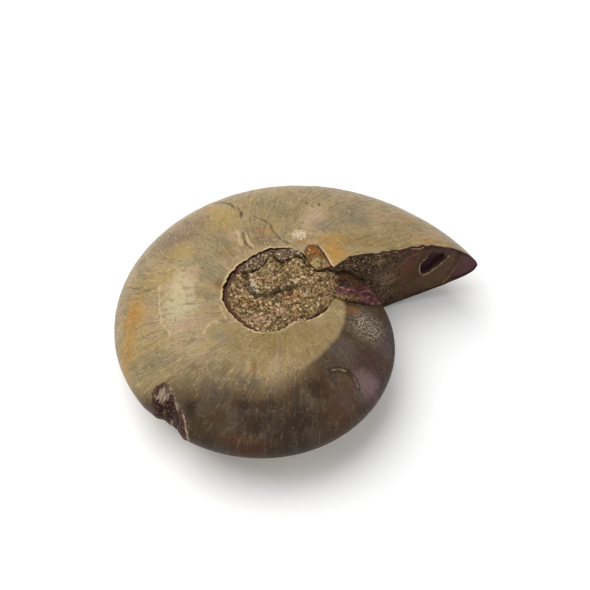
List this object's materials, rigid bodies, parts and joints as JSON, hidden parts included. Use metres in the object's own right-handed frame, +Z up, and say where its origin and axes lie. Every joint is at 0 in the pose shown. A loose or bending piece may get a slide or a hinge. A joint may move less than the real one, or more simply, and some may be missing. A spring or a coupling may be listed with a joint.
{
  "type": "ammonite fossil",
  "caption": "Polished fossil ammonite lying on its flank: a flat coiled shell turned to stone, with rock in its navel, a torn broken end and a chipped keel; display piece.",
  "frame": {"origin": "centre of the fossil's footprint, on the surface it lies on", "axes": "+Z up, along the axis of the coil; +X towards the broken end, along the fossil's length; +Y across it, to the left of the broken end"},
  "size_m": [0.092, 0.0826, 0.0262],
  "materials": {
    "shell_stone": "satin",
    "navel_rock": "matte",
    "torn_rock": "matte"
  },
  "bodies": {
    "root": {"ammonite": "shell_stone"}
  },
  "joints": []
}
